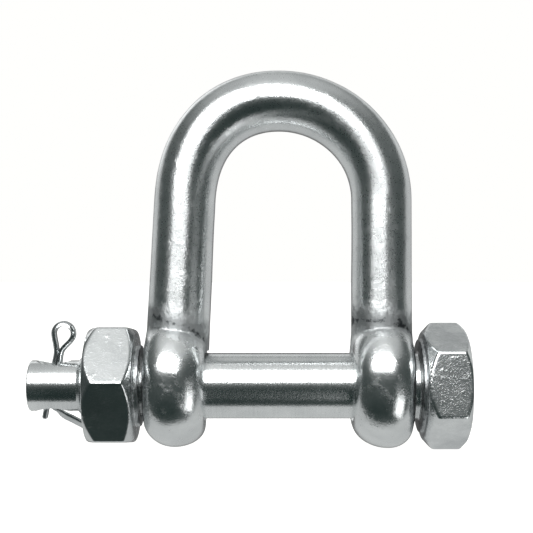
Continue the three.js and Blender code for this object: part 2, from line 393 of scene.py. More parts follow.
CENTRELINE = bow_centreline()
STEP_LENGTH = np.linalg.norm(np.diff(CENTRELINE, axis=0), axis=1)
ARC = np.concatenate([[0], np.cumsum(STEP_LENGTH)])
BAR_LENGTH = ARC[-1]
TANGENT = np.gradient(CENTRELINE, ARC, axis=0)

# Grid of first guesses for the nearest place along the bar: cell and reach.
GUESS_CELL = 1.0
GUESS_X = (-40, 41)
GUESS_Z = (-20, 90)


def arc_guess_table(cell):
    """For a square grid over the bow's plane, the length along the bar at the nearest point."""
    xs, zs = np.arange(*GUESS_X, cell), np.arange(*GUESS_Z, cell)
    gx, gz = np.meshgrid(xs, zs, indexing="ij")
    best = np.full(gx.shape, 1e9)
    arc = np.zeros(gx.shape)
    for point, passed in zip(CENTRELINE, ARC):
        gap = np.hypot(gx - point[0], gz - point[1])
        arc = np.where(gap < best, passed, arc)
        best = np.minimum(best, gap)
    return arc


ARC_GUESS = arc_guess_table(GUESS_CELL)


def along_bar(x, z):
    """Distance in the bow's plane to its centreline, and the length along it at that point."""
    columns, rows = ARC_GUESS.shape
    i = np.clip(np.round((x - GUESS_X[0]) / GUESS_CELL).astype(int), 0, columns - 1)
    j = np.clip(np.round((z - GUESS_Z[0]) / GUESS_CELL).astype(int), 0, rows - 1)
    arc = ARC_GUESS[i, j]
    for _ in range(5):
        dx = x - np.interp(arc, ARC, CENTRELINE[:, 0])
        dz = z - np.interp(arc, ARC, CENTRELINE[:, 1])
        ahead = dx * np.interp(arc, ARC, TANGENT[:, 0]) + dz * np.interp(arc, ARC, TANGENT[:, 1])
        arc = np.clip(arc + ahead, 0, BAR_LENGTH)
    dx = x - np.interp(arc, ARC, CENTRELINE[:, 0])
    dz = z - np.interp(arc, ARC, CENTRELINE[:, 1])
    return np.hypot(dx, dz), arc


def bar_field(points):
    """The round bar: a little fuller on its left side, swelling into both eyes, and pressed
    in at the front and back just above them."""
    x, y, z = points.T
    flat, arc = along_bar(x, z)
    share = arc / BAR_LENGTH
    left_swell = np.exp(-(((share - SWELL_SHARE) / SWELL_WIDTH) ** 2))
    right_swell = np.exp(-(((1 - share - SWELL_SHARE) / SWELL_WIDTH) ** 2))
    to_foot = np.minimum(arc, BAR_LENGTH - arc)
    neck = NECK_DEPTH * np.exp(-(((to_foot - NECK_ARC) / NECK_HALF_LENGTH) ** 2))
    neck *= np.clip(np.abs(y) / NOMINAL_BAR_RADIUS, 0, 1) ** 2
    radius = BAR_RADIUS + LEFT_FULLER * (1 - 2 * share) + SWELL * (left_swell + right_swell)
    return np.hypot(flat, y) - (radius - neck)


def eye_field(points, side, radius):
    """A turned ring about the bolt axis with an elliptic rim and flat sides."""
    inner, outer = side * JAW_HALF, side * (JAW_HALF + EYE_THICKNESS)
    crest = (inner + outer) / 2 + side * EYE_CREST_OUT
    up = points[:, 2]
    lean = EYE_FOOT_LEAN * np.clip((-up - EYE_FLAT_RADIUS) / (radius - EYE_FLAT_RADIUS), 0, 1)
    x = (points[:, 0] - lean - crest) * side
    pressed = EYE_PRESSED * np.exp(-(((up - EYE_PRESSED_Z) / EYE_PRESSED_WIDTH) ** 2))
    rho = np.hypot(points[:, 1], np.where(up > 0, up / EYE_UPPER_STRETCH, up) - pressed)
    half = np.where(x < 0, abs(crest - inner), abs(outer - crest))
    height = radius - EYE_FLAT_RADIUS
    over = np.maximum(rho - EYE_FLAT_RADIUS, 0)
    k0 = np.hypot(x / half, over / height)
    k1 = np.hypot(x / half**2, over / height**2) + 1e-9
    rim = k0 * (k0 - 1) / k1
    slab = np.abs(x) - half
    return np.where(rho > EYE_FLAT_RADIUS, rim, slab)


def bow_field(points):
    """The whole forging: bar and eyes joined, with both bores and their chamfered mouths."""
    x, y, z = points.T
    body = smooth_min(bar_field(points), eye_field(points, -1, LEFT_EYE_RADIUS), CREASE_FILLET)
    body = smooth_min(body, eye_field(points, 1, RIGHT_EYE_RADIUS), CREASE_FILLET)
    rho = np.hypot(y, z)
    body = smooth_max(body, BORE_RADIUS - rho, BORE_EDGE_ROUND)
    for face in (-JAW_HALF - EYE_THICKNESS, -JAW_HALF, JAW_HALF, JAW_HALF + EYE_THICKNESS):
        mouth = (BORE_RADIUS + BORE_CHAMFER - rho - np.abs(x - face)) * math.sqrt(0.5)
        body = smooth_max(body, mouth, MOUTH_ROUND)
    # A tumbled forging is never quite even.
    wave = np.sin(0.31 * x + 1.3) * np.sin(0.27 * z + 0.4) * np.cos(0.33 * y)
    ripple = np.sin(0.83 * x + 0.7 * y) * np.sin(0.71 * z + 0.5 * x)
    return body - FORGING_WAVE * wave - FORGING_RIPPLE * ripple


BOX_REACH = 17.6  # room round the bolt axis for the sampled box, and above the crown
CROWN_REACH = 9.6


def build_bow():
    """The bow's mesh, with its grain coordinates and its two materials' faces."""
    reach = JAW_HALF + EYE_THICKNESS + 1
    step = 0.5
    low = (-reach, -BOX_REACH, -BOX_REACH)
    high = (reach, BOX_REACH, APEX_Z + CROWN_REACH)
    points, quads, normals = field_surface(bow_field, low, high, step)
    bow = mesh_object("bow_forging", points, quads, normals)
    # Grain coordinates run along the bar and round it, and carry on down over the eyes.
    x, y, z = points.T
    _, arc = along_bar(x, z)
    centre_x = np.interp(arc, ARC, CENTRELINE[:, 0])
    centre_z = np.interp(arc, ARC, CENTRELINE[:, 1])
    outward = np.hypot(x - centre_x, z - centre_z)
    from_middle = np.hypot(x, z - SHOULDER_Z) - np.hypot(centre_x, centre_z - SHOULDER_Z)
    angle = np.arctan2(y, outward * np.sign(from_middle))
    grain = np.stack([arc, angle * NOMINAL_BAR_RADIUS], axis=1)
    lay_uv(bow, grain, 2 * math.pi * NOMINAL_BAR_RADIUS)
    mark_creases(bow, points)
    on_eye = eye_faces(points[quads].mean(axis=1))
    bow.data.polygons.foreach_set("material_index", on_eye.astype(np.int32))
    return bow


def mark_creases(bow, points):
    """Stores how close each vertex lies to the crease between the bar and an eye: 1 on it. The
    materials darken the tone there with painted shade.
    """
    bar = bar_field(points)
    eyes = np.minimum(
        eye_field(points, -1, LEFT_EYE_RADIUS), eye_field(points, 1, RIGHT_EYE_RADIUS)
    )
    from_eye = np.where(points[:, 0] < 0, points[:, 0] + EYE_X, points[:, 0] - EYE_X)
    rise = CREASE_RISE * (0.5 - from_eye / EYE_THICKNESS)
    close = np.clip(1 - np.abs(bar - eyes + rise) / CREASE_REACH, 0, 1)
    layer = bow.data.attributes.new("crease", "FLOAT", "POINT")
    layer.data.foreach_set("value", (close * (points[:, 2] > CREASE_LOWEST_Z)).astype(np.float32))


def eye_faces(centres):
    """Which faces belong to an eye rather than to the bar above it."""
    eyes = np.minimum(
        eye_field(centres, -1, LEFT_EYE_RADIUS), eye_field(centres, 1, RIGHT_EYE_RADIUS)
    )
    return (centres[:, 2] < EYE_TOP_Z) & (eyes < bar_field(centres))


# ---------------------------------------------------------------------------------------------
# Hexagons
# ---------------------------------------------------------------------------------------------
def hexagon_field(points, bearing_x, outer_x, radius, turn, chamfers, collar):
    """A hexagon along X, chamfered by cones, with a round collar on its bearing end."""
    x, y, z = points.T
    outward = math.copysign(1.0, outer_x - bearing_x)
    collar_radius, collar_height = collar
    shoulder_x = bearing_x + outward * collar_height
    apothem = radius * math.cos(math.pi / 6)
    body = None
    for i in range(3):
        angle = turn + math.pi / 6 + i * math.pi / 3
        pair = np.abs(y * math.cos(angle) + z * math.sin(angle)) - apothem
        body = pair if body is None else smooth_max(body, pair, HEX_EDGE_ROUND)
    rho = np.hypot(y, z)
    ends = (
        (shoulder_x, outward, HEX_BEARING_RADIUS, chamfers[0]),
        (outer_x, -outward, HEX_OUTER_RADIUS, chamfers[1]),
    )
    for face, inwards, face_radius, chamfer in ends:
        deep = (x - face) * inwards
        slope = chamfer / (radius - face_radius)
        cone = (slope * (rho - face_radius) - deep) / math.hypot(1, slope)
        body = smooth_max(body, cone, HEX_EDGE_ROUND)
        body = smooth_max(body, -deep, HEX_FACE_ROUND)
    washer = smooth_max(rho - collar_radius, (bearing_x - x) * outward, HEX_FACE_ROUND)
    root = (x - shoulder_x) * outward - COLLAR_ROOT
    return smooth_min(body, smooth_max(washer, root, HEX_FACE_ROUND), HEX_FACE_ROUND)


def nut_field(points):
    """The nut: a hexagon with a chamfered bore."""
    body = hexagon_field(
        points, NUT_INNER_X, NUT_OUTER_X, NUT_RADIUS, NUT_TURN, NUT_CHAMFERS, NUT_COLLAR
    )
    x, y, z = points.T
    rho = np.hypot(y, z)
    body = smooth_max(body, NUT_BORE_RADIUS - rho, NUT_BORE_ROUND)
    for face in (NUT_INNER_X, NUT_OUTER_X):
        mouth = (NUT_BORE_RADIUS + NUT_BORE_CHAMFER - rho - np.abs(x - face)) * math.sqrt(0.5)
        body = smooth_max(body, mouth, NUT_MOUTH_ROUND)
    return body - HEX_WAVE * np.sin(0.9 * x + 0.4 * y) * np.sin(0.8 * z)


def head_field(points):
    """The bolt's head: a solid hexagon."""
    body = hexagon_field(
        points, HEAD_UNDERSIDE_X, HEAD_END_X, HEAD_RADIUS, HEAD_TURN, HEAD_CHAMFERS, HEAD_COLLAR
    )
    wave = np.sin(0.8 * points[:, 0] + 0.5) * np.sin(0.7 * points[:, 2])
    return body + HEAD_SHY - HEX_WAVE * wave


HEX_BOX = (0.95, 17.5)  # room for the sampled box past each end and round the axis


def build_hexagon(name, field, from_x, to_x):
    """A hexagon's mesh, with grain round the bolt axis and painted shade on its bearing end."""
    step = 0.3
    past, reach = HEX_BOX
    low = (min(from_x, to_x) - past, -reach, -reach)
    high = (max(from_x, to_x) + past, reach, reach)
    points, quads, normals = field_surface(field, low, high, step, relax_rounds=2)
    obj = mesh_object(name, points, quads, normals)
    around = np.arctan2(points[:, 2], points[:, 1]) * HEX_GRAIN_RADIUS
    lay_uv(obj, np.stack([points[:, 0], around], axis=1), 2 * math.pi * HEX_GRAIN_RADIUS)
    # The crease layer here carries painted shade, and a little extra roughness, onto the bearing
    # end next to the bow.
    from_bow = np.abs(points[:, 0]) - min(abs(from_x), abs(to_x))
    layer = obj.data.attributes.new("crease", "FLOAT", "POINT")
    close = np.clip(COLLAR_SHADE_START - from_bow / COLLAR_SHADE_REACH, 0, 1)
    layer.data.foreach_set("value", close.astype(np.float32))
    return obj


# ---------------------------------------------------------------------------------------------
# Bolt stem
# ---------------------------------------------------------------------------------------------
def stem_profile():
    """Rows (x, radius, thread share) of the turned stem, from the spigot's end to the head."""
    rows = []

    def run(x0, r0, x1, r1, step, thread=0.0):
        """Straight rows from one point to just short of another."""
        count = max(1, int(round(math.hypot(x1 - x0, r1 - r0) / step)))
        for i in range(count):
            share = i / count
            rows.append((x0 + share * (x1 - x0), r0 + share * (r1 - r0), thread))

    def edge(x, radius, size, count):
        """A rounded outer edge, from the face at x to the given radius."""
        for i in range(count):
            angle = i / (count - 1) * math.pi / 2
            drop = size * (1 - math.sin(angle))
            rows.append((x + size * (1 - math.cos(angle)), radius - drop, 0.0))

    def fillet(x, radius, size, count):
        """A hollow corner, from the given radius to the face at x."""
        for i in range(count):
            angle = i / (count - 1) * math.pi / 2
            back = size * (1 - math.sin(angle))
            rows.append((x - back, radius + size * (1 - math.cos(angle)), 0.0))

    spigot, thread, shank = SPIGOT_RADIUS, THREAD_RADIUS, SHANK_RADIUS
    thread_start = THREAD_END_X + THREAD_CHAMFER
    fine_end = THREAD_END_X + THREAD_FINE
    fine_start = SHANK_END_X - THREAD_FINE
    groove_x = SHANK_END_X - GROOVE_LENGTH
    gap = 0.05  # keeps neighbouring rows from falling on each other
    # The number after each run's two ends is the distance between its rows.
    run(SPIGOT_END_X, AXIS_RADIUS, SPIGOT_END_X, spigot - SPIGOT_EDGE - gap, 0.8)
    edge(SPIGOT_END_X, spigot, SPIGOT_EDGE, 7)
    run(SPIGOT_END_X + SPIGOT_EDGE + gap, spigot, THREAD_END_X - SPIGOT_FILLET, spigot, 0.5)
    fillet(THREAD_END_X, spigot, SPIGOT_FILLET, 5)
    run(THREAD_END_X, spigot + 0.3, THREAD_END_X, thread - THREAD_CHAMFER - gap, 0.3)
    run(THREAD_END_X, thread - THREAD_CHAMFER, thread_start, thread - 0.04, 0.12)
    run(thread_start, thread - 0.02, fine_end, thread, 0.12, 1.0)
    run(fine_end, thread, fine_start, thread, 0.4, 1.0)
    run(fine_start, thread, groove_x, thread, 0.15, 1.0)
    run(groove_x, thread - GROOVE_DEPTH, SHANK_END_X, thread - GROOVE_DEPTH, 0.3)
    run(SHANK_END_X, thread - 0.4, SHANK_END_X, shank - SHANK_EDGE, 0.3)
    edge(SHANK_END_X, shank, SHANK_EDGE, 5)
    run(SHANK_END_X + 0.4, shank, HEAD_UNDERSIDE_X - 0.6, shank, 1.0)
    fillet(HEAD_UNDERSIDE_X, shank, HEAD_FILLET, 6)
    rows.append((HEAD_UNDERSIDE_X + STEM_IN_HEAD, shank + HEAD_FILLET, 0.0))
    rows.append((HEAD_UNDERSIDE_X + STEM_IN_HEAD, AXIS_RADIUS, 0.0))
    return rows


def ring_faces(rings, around):
    """Quads between equal rings of vertices in order, and a cap on both ends."""
    faces = []
    for i in range(rings - 1):
        for j in range(around):
            a, b = i * around + j, i * around + (j + 1) % around
            faces.append((a, b, b + around, a + around))
    last = (rings - 1) * around
    faces.append(tuple(range(around))[::-1])
    faces.append(tuple(last + j for j in range(around)))
    return faces


def build_stem():
    """Shank, helical thread and spigot, with the cotter pin's hole cut through."""
    rows = stem_profile()
    around = 144
    points, uvs = [], []
    for x, radius, thread in rows:
        for j in range(around):
            angle = 2 * math.pi * j / around
            turns = x / THREAD_PITCH - j / around
            tooth = abs((turns % 1.0) * 2 - 1)
            cut = THREAD_DEPTH * min(1.0, max(0.0, THREAD_FLANK * tooth - THREAD_CREST))
            r = radius - thread * cut
            points.append((x, r * math.cos(angle), r * math.sin(angle)))
            uvs.append((x, angle * SHANK_RADIUS))
    stem = mesh_object("bolt_stem", points, ring_faces(len(rows), around))
    lay_uv(stem, np.array(uvs), 2 * math.pi * SHANK_RADIUS)
    drill = cotter_drill()
    cut = stem.modifiers.new("cotter_hole", "BOOLEAN")
    cut.operation = "DIFFERENCE"
    cut.object = drill
    cut.solver = "EXACT"
    apply_modifiers(stem)
    bpy.data.objects.remove(drill)
    smooth_by_angle(stem, STEM_SHARP_ANGLE)
    return stem


def apply_modifiers(obj):
    """Bakes an object's modifiers into its mesh."""
    bpy.context.view_layer.update()
    graph = bpy.context.evaluated_depsgraph_get()
    mesh = bpy.data.meshes.new_from_object(obj.evaluated_get(graph))
    old = obj.data
    obj.modifiers.clear()
    obj.data = mesh
    bpy.data.meshes.remove(old)


def smooth_by_angle(obj, degrees):
    """Smooth shading, with edges sharper than the angle kept sharp."""
    mesh = obj.data
    mesh.shade_smooth()
    mesh.set_sharp_from_angle(angle=math.radians(degrees))


def cotter_drill():
    """The drill and countersinks that cut the cotter pin's hole, lying along Z."""
    half = SPIGOT_RADIUS
    profile = [
        (-half - DRILL_OVERRUN, COTTER_SINK_RADIUS + DRILL_FLARE),
        (-half, COTTER_SINK_RADIUS),
        (-half + COTTER_SINK_DEPTH, COTTER_HOLE_RADIUS),
        (half - COTTER_SINK_DEPTH, COTTER_HOLE_RADIUS),
        (half, COTTER_SINK_RADIUS),
        (half + DRILL_OVERRUN, COTTER_SINK_RADIUS + DRILL_FLARE),
    ]
    around = 64
    points = []
    for z, r in profile:
        for j in range(around):
            angle = 2 * math.pi * j / around
            points.append((COTTER_HOLE_X + r * math.cos(angle), r * math.sin(angle), z))
    return mesh_object("cotter_drill", points, ring_faces(len(profile), around))


# ---------------------------------------------------------------------------------------------
# Cotter pin
# ---------------------------------------------------------------------------------------------
def wire_path():
    """The wire's flat side in the pin's own plane (x, z), and evenly spaced along it."""
    points = []
    inner = LEG_GAP / 2
    for share in (0, 0.25, 0.5, 0.75, 0.94):
        points.append((-inner, STRAIGHT_LEG_Z + share * (NECK_Z - STRAIGHT_LEG_Z)))
    steps = 9
    for i in range(steps + 1):
        angle = math.radians(EYE_START - i * EYE_SWEEP / steps)
        x = EYE_CENTRE_X + EYE_WIRE_RADIUS * math.cos(angle)
        points.append((x, EYE_CENTRE_Z + EYE_WIRE_RADIUS * math.sin(angle)))
    for share in (0.04, 0.3, 0.6, 1):
        points.append((inner, NECK_Z + share * (BEND_Z - NECK_Z)))
    bent_z = BEND_Z - BENT_LEG_DROP
    for share in (0.28, 0.64, 1):
        z = bent_z + share * (BENT_LEG_END_Z - bent_z)
        points.append((inner + share * BENT_LEG_REACH_X, z))
    return resample(centripetal(np.array(points)), WIRE_STEP)


def centripetal(points, fine=24):
    """A centripetal Catmull-Rom curve through the points."""
    first = 2 * points[0] - points[1]
    last = 2 * points[-1] - points[-2]
    padded = np.concatenate([[first], points, [last]])
    out = []
    for i in range(len(points) - 1):
        p0, p1, p2, p3 = padded[i : i + 4]
        t0 = 0.0
        t1 = t0 + np.linalg.norm(p1 - p0) ** 0.5
        t2 = t1 + np.linalg.norm(p2 - p1) ** 0.5
        t3 = t2 + np.linalg.norm(p3 - p2) ** 0.5
        for t in np.linspace(t1, t2, fine, endpoint=False):
            a1 = (t1 - t) / (t1 - t0) * p0 + (t - t0) / (t1 - t0) * p1
            a2 = (t2 - t) / (t2 - t1) * p1 + (t - t1) / (t2 - t1) * p2
            a3 = (t3 - t) / (t3 - t2) * p2 + (t - t2) / (t3 - t2) * p3
            b1 = (t2 - t) / (t2 - t0) * a1 + (t - t0) / (t2 - t0) * a2
            b2 = (t3 - t) / (t3 - t1) * a2 + (t - t1) / (t3 - t1) * a3
            out.append((t2 - t) / (t2 - t1) * b1 + (t - t1) / (t2 - t1) * b2)
    out.append(points[-1])
    return np.array(out)


def resample(path, step):
    """The same path as evenly spaced points."""
    lengths = np.concatenate([[0], np.cumsum(np.linalg.norm(np.diff(path, axis=0), axis=1))])
    even = np.linspace(0, lengths[-1], int(lengths[-1] / step) + 1)
    return np.stack([np.interp(even, lengths, path[:, a]) for a in range(2)], axis=1)


def wire_section():
    """Half-round section (across, out): a flat with small rounded corners and a round back."""
    flat = WIRE_RADIUS - 2 * WIRE_CORNER
    out = [(-flat, 0.0), (0.0, 0.0), (flat, 0.0)]
    steps = 14
    for i in range(steps + 1):
        angle = math.radians(WIRE_BACK_START + i / steps * (180 - 2 * WIRE_BACK_START))
        out.append((WIRE_RADIUS * math.cos(angle), WIRE_RADIUS * math.sin(angle)))
    return out


def build_cotter():
    """The wire swept along its path, its ends rounded and its bent leg twisted."""
    path = wire_path()
    section = wire_section()
    tangent = np.gradient(path, axis=0)
    tangent /= np.linalg.norm(tangent, axis=1)[:, None]
    outward = np.stack([-tangent[:, 1], tangent[:, 0]], axis=1)
    last = len(path) - 1
    tilt_cos, tilt_sin = math.cos(COTTER_TILT), math.sin(COTTER_TILT)
    spin = np.array([[tilt_cos, tilt_sin], [-tilt_sin, tilt_cos]])
    points, faces, uvs = [], [], []
    n = len(section)
    for i, (centre, out) in enumerate(zip(path, outward)):
        from_end = min(i, last - i) * WIRE_STEP
        ended = math.sin(min(1.0, from_end / WIRE_END) * math.pi / 2)
        shrink = WIRE_TIP + (1 - WIRE_TIP) * ended
        twist_length = BENT_LEG_REACH_X / 2 - BENT_LEG_TWIST_X
        bent = min(1.0, max(0.0, (centre[0] - BENT_LEG_TWIST_X) / twist_length))
        twist = BENT_LEG_TWIST * bent * bent * (3 - 2 * bent) if centre[1] < 0 else 0.0
        for k, (across, up) in enumerate(section):
            side, height = across * shrink, up * shrink + 0.5 * WIRE_RADIUS * (1 - shrink)
            depth = side * math.cos(twist) + height * math.sin(twist)
            lift = height * math.cos(twist) - side * math.sin(twist)
            flat = spin @ (centre + out * lift)
            points.append((COTTER_X + flat[0], depth, flat[1]))
            uvs.append((i * WIRE_STEP, k * WIRE_GRAIN_STEP))
    for i in range(last):
        for k in range(n):
            a, b = i * n + k, i * n + (k + 1) % n
            faces.append((a, a + n, b + n, b))
    faces.append(tuple(range(n)))
    faces.append(tuple(last * n + k for k in range(n))[::-1])
    pin = mesh_object("cotter_wire", points, faces)
    fix_normals(pin)
    lay_uv(pin, np.array(uvs), NO_WRAP)
    smooth_by_angle(pin, WIRE_SHARP_ANGLE)
    return pin


def fix_normals(obj):
    """Turns every face of a closed mesh outwards."""
    shape = bmesh.new()
    shape.from_mesh(obj.data)
    bmesh.ops.recalc_face_normals(shape, faces=shape.faces)
    shape.to_mesh(obj.data)
    shape.free()
    obj.data.shade_smooth()


# ---------------------------------------------------------------------------------------------
# Materials
# ---------------------------------------------------------------------------------------------
# Noise scales, cycles per metre: soft clouds, rubbed patches and fine specks.
CLOUD_SCALE = 90.0
PATCH_SCALE = 420.0
SPECK_SCALE = 2200.0
# Tool marks, cycles per grain unit (50 mm) along and round the piece.
TOOL_MARK_SCALE = (90.0, 1.2, 1.0)


# How much specks, patches and the skin beside a crease change tone, roughness and height; the tone
# taken off in and beside a crease is painted shade.
SPECK_TONE = 0.15
SPECK_ROUGH = 0.25
PATCH_ROUGH = 0.3
PATCH_HEIGHT = 3.0
# The share of tone taken off the skin beside a crease is painted shade.
BESIDE_CREASE_SHADE = 0.72
RUBBED_HEIGHT = 5.0
CREASE_SHADE_TONE = -0.17
RAGGED = 1.2
# Where the painted shade in a crease and the rubbed, painted-shaded skin beside it begin and are
# complete, on the crease scale from 0 to 1.
CREASE_SHADE_SPAN = (0.9, 1.15)
RUBBED_AND_SHADED_SPAN = (0.0, 0.8)
TINT_PLACES = (0.0, 0.22, 0.65)
BUMP_STRENGTH = 0.6
BUMP_DISTANCE = 0.00006


class Nodes:
    """Short spellings for building a node tree."""

    def __init__(self, tree):
        self.tree = tree

    def add(self, kind, **settings):
        """A new node with the given properties."""
        node = self.tree.nodes.new(kind)
        for key, value in settings.items():
            setattr(node, key, value)
        return node

    def link(self, source, target):
        """Joins an output to an input."""
        self.tree.links.new(source, target)

    def math(self, operation, a, b=None, c=None):
        """One sum of up to three values, each a number or an output."""
        node = self.add("ShaderNodeMath", operation=operation)
        for socket, value in zip(node.inputs, (a, b, c)):
            if value is None:
                continue
            if isinstance(value, (int, float)):
                socket.default_value = value
            else:
                self.link(value, socket)
        return node.outputs[0]

    def off_middle(self, noise):
        """A noise value about zero instead of about a half."""
        return self.math("SUBTRACT", noise, 0.5)

    def span(self, value, low, high, smooth=False):
        """A value from low to high as a share from 0 to 1."""
        node = self.add("ShaderNodeMapRange")
        node.interpolation_type = "SMOOTHSTEP" if smooth else "LINEAR"
        self.link(value, node.inputs["Value"])
        node.inputs["From Min"].default_value = low
        node.inputs["From Max"].default_value = high
        return node.outputs["Result"]

    def noise(self, vector, scale, detail, roughness):
        """Smooth noise from 0 to 1."""
        node = self.add("ShaderNodeTexNoise")
        node.inputs["Scale"].default_value = scale
        node.inputs["Detail"].default_value = detail
        node.inputs["Roughness"].default_value = roughness
        self.link(vector, node.inputs["Vector"])
        return node.outputs["Fac"]

    def stretched(self, vector, scale):
        """Coordinates scaled differently along each axis."""
        node = self.add("ShaderNodeMapping")
        self.link(vector, node.inputs["Vector"])
        node.inputs["Scale"].default_value = scale
        return node.outputs["Vector"]

    def blend(self, first, second, share):
        """Two colours mixed."""
        node = self.add("ShaderNodeMix", data_type="RGBA")
        self.link(share, node.inputs[0])
        self.link(first, node.inputs[6])
        self.link(second, node.inputs[7])
        return node.outputs[2]

    def ramp(self, value, stops):
        """A colour or grey looked up along (place, shade) stops."""
        node = self.add("ShaderNodeValToRGB")
        band = node.color_ramp
        while len(band.elements) > 1:
            band.elements.remove(band.elements[-1])
        band.elements[0].position = stops[0][0]
        band.elements[0].color = grey(stops[0][1])
        for position, shade in stops[1:]:
            band.elements.new(position).color = grey(shade)
        self.link(value, node.inputs["Fac"])
        return node.outputs["Color"]


def grey(shade):
    """A grey or a colour as four numbers."""
    if isinstance(shade, (int, float)):
        return (shade, shade, shade, 1.0)
    return (*shade, 1.0)


def steel(name, shades, roughness, anisotropy, speckle, mottle, lines=0.0, creases=0.0):
    """Bright stainless steel. Tint and gloss vary in clouds and in fine specks; where lines
    is set, tool marks run round the piece. Where creases is set, the creases and the skin beside
    them are darkened with painted shade, and that skin is rougher by that much."""
    material = bpy.data.materials.new(name)
    material.use_nodes = True
    nodes = Nodes(material.node_tree)
    shader = material.node_tree.nodes["Principled BSDF"]
    shader.inputs["Metallic"].default_value = 1.0
    shader.inputs["Anisotropic"].default_value = anisotropy
    place = nodes.add("ShaderNodeTexCoord").outputs["Object"]
    uv = nodes.add("ShaderNodeUVMap", uv_map="grain").outputs["UV"]
    cloud = nodes.noise(place, CLOUD_SCALE, 3.0, 0.6)
    patch = nodes.noise(place, PATCH_SCALE, 3.0, 0.6)
    speck = nodes.noise(place, SPECK_SCALE, 2.0, 0.6)
    speckled, mottled = nodes.off_middle(speck), nodes.off_middle(patch)
    tone = nodes.math("MULTIPLY_ADD", speckled, speckle * SPECK_TONE, cloud)
    tone = nodes.math("MULTIPLY_ADD", mottled, mottle, tone)
    rough = nodes.math("MULTIPLY_ADD", speckled, speckle * SPECK_ROUGH, roughness)
    rough = nodes.math("MULTIPLY_ADD", mottled, mottle * PATCH_ROUGH, rough)
    height = nodes.math("MULTIPLY", speck, speckle)
    height = nodes.math("MULTIPLY_ADD", patch, mottle * PATCH_HEIGHT, height)
    if lines:
        marks = nodes.noise(nodes.stretched(uv, TOOL_MARK_SCALE), 1.0, 3.0, 0.7)
        height = nodes.math("MULTIPLY_ADD", marks, lines, height)
        tone = nodes.math("MULTIPLY_ADD", nodes.off_middle(marks), lines, tone)
    if creases:
        near = nodes.add("ShaderNodeAttribute", attribute_name="crease").outputs["Fac"]
        ragged = nodes.math("MULTIPLY_ADD", mottled, RAGGED, near)
        # Painted shade: the tone is darkened in the crease itself.
        crease_shade = nodes.span(ragged, *CREASE_SHADE_SPAN, smooth=True)
        # Beside the crease the skin is rubbed rougher and bumpier, and its tone is darkened with
        # painted shade.
        rubbed_and_shaded = nodes.span(ragged, *RUBBED_AND_SHADED_SPAN, smooth=True)
        kept = nodes.math("SUBTRACT", 1.0, nodes.math("MULTIPLY", rubbed_and_shaded, BESIDE_CREASE_SHADE))
        tone = nodes.math("MULTIPLY_ADD", crease_shade, CREASE_SHADE_TONE, nodes.math("MULTIPLY", tone, kept))
        rough = nodes.math("MULTIPLY_ADD", rubbed_and_shaded, creases, rough)
        torn = nodes.math("MULTIPLY", patch, rubbed_and_shaded)
        height = nodes.math("MULTIPLY_ADD", torn, RUBBED_HEIGHT, height)
    tint = nodes.ramp(tone, tuple(zip(TINT_PLACES, shades)))
    nodes.link(tint, shader.inputs["Base Color"])
    nodes.link(rough, shader.inputs["Roughness"])
    bump = nodes.add("ShaderNodeBump")
    bump.inputs["Strength"].default_value = BUMP_STRENGTH
    bump.inputs["Distance"].default_value = BUMP_DISTANCE
    nodes.link(height, bump.inputs["Height"])
    nodes.link(bump.outputs["Normal"], shader.inputs["Normal"])
    if anisotropy:
        tangent = nodes.add("ShaderNodeTangent", direction_type="UV_MAP", uv_map="grain")
        nodes.link(tangent.outputs["Tangent"], shader.inputs["Tangent"])
    return material


# ---------------------------------------------------------------------------------------------
# Studio
# ---------------------------------------------------------------------------------------------
# Brightness of the room by elevation in degrees: before, beside and behind the object.
FRONT_OF_ROOM = (
    (-90, 0.05), (-40, 0.03), (-10, 0.045), (4, 0.09),
    (12, 0.2), (24, 0.6), (52, 0.95), (66, 0.85), (82, 0.7), (90, 0.6),
)
FLANKS_OF_ROOM = (
    (-90, 0.05), (-40, 0.04), (-10, 0.055), (20, 0.075),
    (44, 0.12), (60, 0.5), (82, 0.6), (90, 0.6),
)
BACK_OF_ROOM = (
    (-90, 0.58), (-40, 0.56), (-4, 0.5), (6, 0.6), (30, 0.66), (56, 0.66), (70, 0.55),
    (76, 0.22), (83, 0.55), (90, 0.6),
)
# Where the front of the room begins and ends, azimuth in degrees.
FRONT_SHARE = ((-180, 0), (-60, 0), (-46, 1), (18, 1), (30, 0), (180, 0))
# The bright back of the room begins at a leaning plane; this is the way it faces.
BACK_FACING = (0.079, 1.0, -0.6)
BACK_BEGINS = 0.13
BACK_FULL = 0.30
# A dim opening straight behind the object: where it begins and is complete, and its shade.
OPENING_BEGINS = 0.82
OPENING_FULL = 0.94
OPENING = 0.16
# How much less red and blue than green the room sends back.
ROOM_TINT = (0.012, 0.002)


WHITE = (1.0, 1.0, 0.985, 1.0)


def elevation_stops(table):
    """Ramp stops from (degrees, brightness) pairs, with the room's tint."""
    return [
        ((degrees + 90) / 180, (shade - ROOM_TINT[0], shade, shade - ROOM_TINT[1]))
        for degrees, shade in table
    ]


def azimuth_stops(table):
    """Ramp stops from (degrees, share) pairs."""
    return [((degrees + 180) / 360, share) for degrees, share in table]


